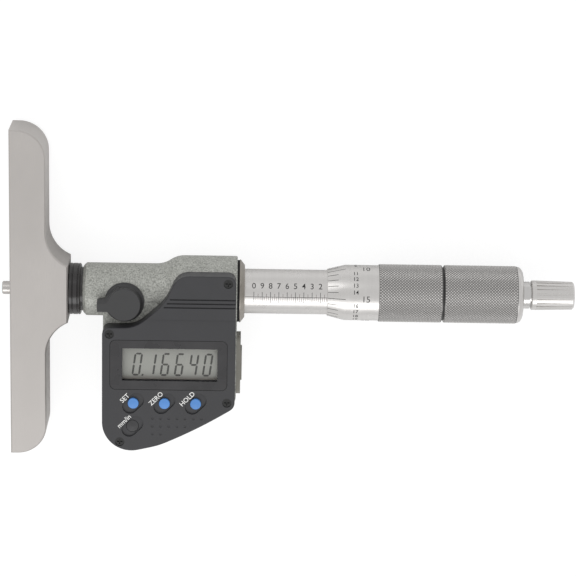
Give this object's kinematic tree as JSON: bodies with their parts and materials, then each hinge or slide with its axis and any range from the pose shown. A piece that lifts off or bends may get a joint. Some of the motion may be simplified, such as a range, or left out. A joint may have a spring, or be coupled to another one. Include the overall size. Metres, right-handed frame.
{
  "type": "depth micrometer",
  "caption": "Digital depth micrometer: long flat measuring base, round neck, display unit with window and push buttons, graduated sleeve and thimble, knurled grip and ratchet stop.",
  "frame": {"origin": "centre of the base's measuring face, on the spindle's axis", "axes": "+X along the spindle from the measuring face towards the ratchet; Y along the base, +Y being upward when the display is read; +Z out of the display. The instrument lies on the back of its frame."},
  "size_m": [0.1757, 0.1016, 0.0236],
  "materials": {
    "satin_steel": "satin ground",
    "black_oxide": "glossy black",
    "hardened_steel": "ground",
    "hammer_paint": "hammered speckle, semi-gloss",
    "black_enamel": "satin black",
    "satin_chrome": "satin",
    "bright_steel": "polished",
    "ring_steel": "satin",
    "bronze": "plain",
    "encoder_glass": "gloss",
    "seal_rubber": "matt",
    "housing_plastic": "fine moulded grain",
    "window": "tinted clear",
    "liquid_crystal": "gloss",
    "white_plastic": "matt",
    "board_green": "satin",
    "pad_rubber": "matt",
    "blue_plastic": "gloss",
    "black_plastic": "gloss",
    "black_screw": "black plated",
    "cell_steel": "plain",
    "contact_brass": "plain",
    "cover_plastic": "matt",
    "spring_steel": "plain"
  },
  "bodies": {
    "frame": {"base": "satin_steel", "stem": "black_oxide", "lock_ring": "black_oxide", "frame": "hammer_paint", "lock_bush": "bronze", "encoder_stator": "encoder_glass", "encoder_bearing": "bronze", "barrel": "hardened_steel", "taper_nut": "hardened_steel", "sleeve": "satin_chrome", "sleeve_nut": "ring_steel", "nut_seal": "seal_rubber", "display_housing": "housing_plastic", "housing_gasket": "seal_rubber", "window_lens": "window", "display_glass": "liquid_crystal", "display_tray": "white_plastic", "circuit_board": "board_green", "key_pad": "pad_rubber", "housing_screws": "black_screw", "battery": "cell_steel", "battery_cap": "cover_plastic", "battery_seal": "seal_rubber", "battery_contact": "contact_brass", "output_socket": "black_plastic", "connector_cover": "cover_plastic", "cover_screws": "black_screw"},
    "rotor": {"encoder_rotor": "encoder_glass", "rotor_key": "hardened_steel", "rotor_clip": "spring_steel"},
    "thimble": {"spindle": "hardened_steel", "measuring_rod": "hardened_steel", "rod_nut": "hardened_steel", "rod_lock_nut": "hardened_steel", "thimble": "satin_chrome", "thimble_cap": "satin_chrome", "ratchet_body": "bright_steel", "ratchet_screw": "hardened_steel"},
    "ratchet": {"ratchet_knob": "satin_chrome", "ratchet_wheel": "hardened_steel", "ratchet_spring": "spring_steel"},
    "lock": {"lock_lever": "black_enamel", "lock_screw": "hardened_steel"},
    "set_button": {"set_button": "blue_plastic"},
    "zero_button": {"zero_button": "blue_plastic"},
    "hold_button": {"hold_button": "blue_plastic"},
    "unit_button": {"unit_button": "black_plastic"}
  },
  "joints": [
    {"name": "rotor_turn", "type": "hinge", "parent": "frame", "child": "rotor", "pos_m": [0, 0, 0], "axis": [-1, 0, 0], "range_deg": [-1656, 12745]},
    {"name": "thimble_slide", "type": "slide", "parent": "rotor", "child": "thimble", "axis": [-1, 0, 0], "range_m": [-0.00292, 0.02248]},
    {"name": "ratchet_turn", "type": "hinge", "parent": "thimble", "child": "ratchet", "pos_m": [0.165, 0, 0], "axis": [-1, 0, 0], "continuous": true},
    {"name": "lock_turn", "type": "hinge", "parent": "frame", "child": "lock", "pos_m": [0.0349, -0.00175, 0.0124], "axis": [0, 0, 1], "range_deg": [-60, 0]},
    {"name": "set_press", "type": "slide", "parent": "frame", "child": "set_button", "axis": [0, 0, -1], "range_m": [0, 0.0005], "stiffness_N_per_m": 400},
    {"name": "zero_press", "type": "slide", "parent": "frame", "child": "zero_button", "axis": [0, 0, -1], "range_m": [0, 0.0005], "stiffness_N_per_m": 400},
    {"name": "hold_press", "type": "slide", "parent": "frame", "child": "hold_button", "axis": [0, 0, -1], "range_m": [0, 0.0005], "stiffness_N_per_m": 400},
    {"name": "unit_press", "type": "slide", "parent": "frame", "child": "unit_button", "axis": [0, 0, -1], "range_m": [0, 0.0005], "stiffness_N_per_m": 400}
  ],
  "couplings": [
    {"joint": "rotor_turn", "follows": "thimble_slide", "rad_per_m": 9894.8}
  ]
}
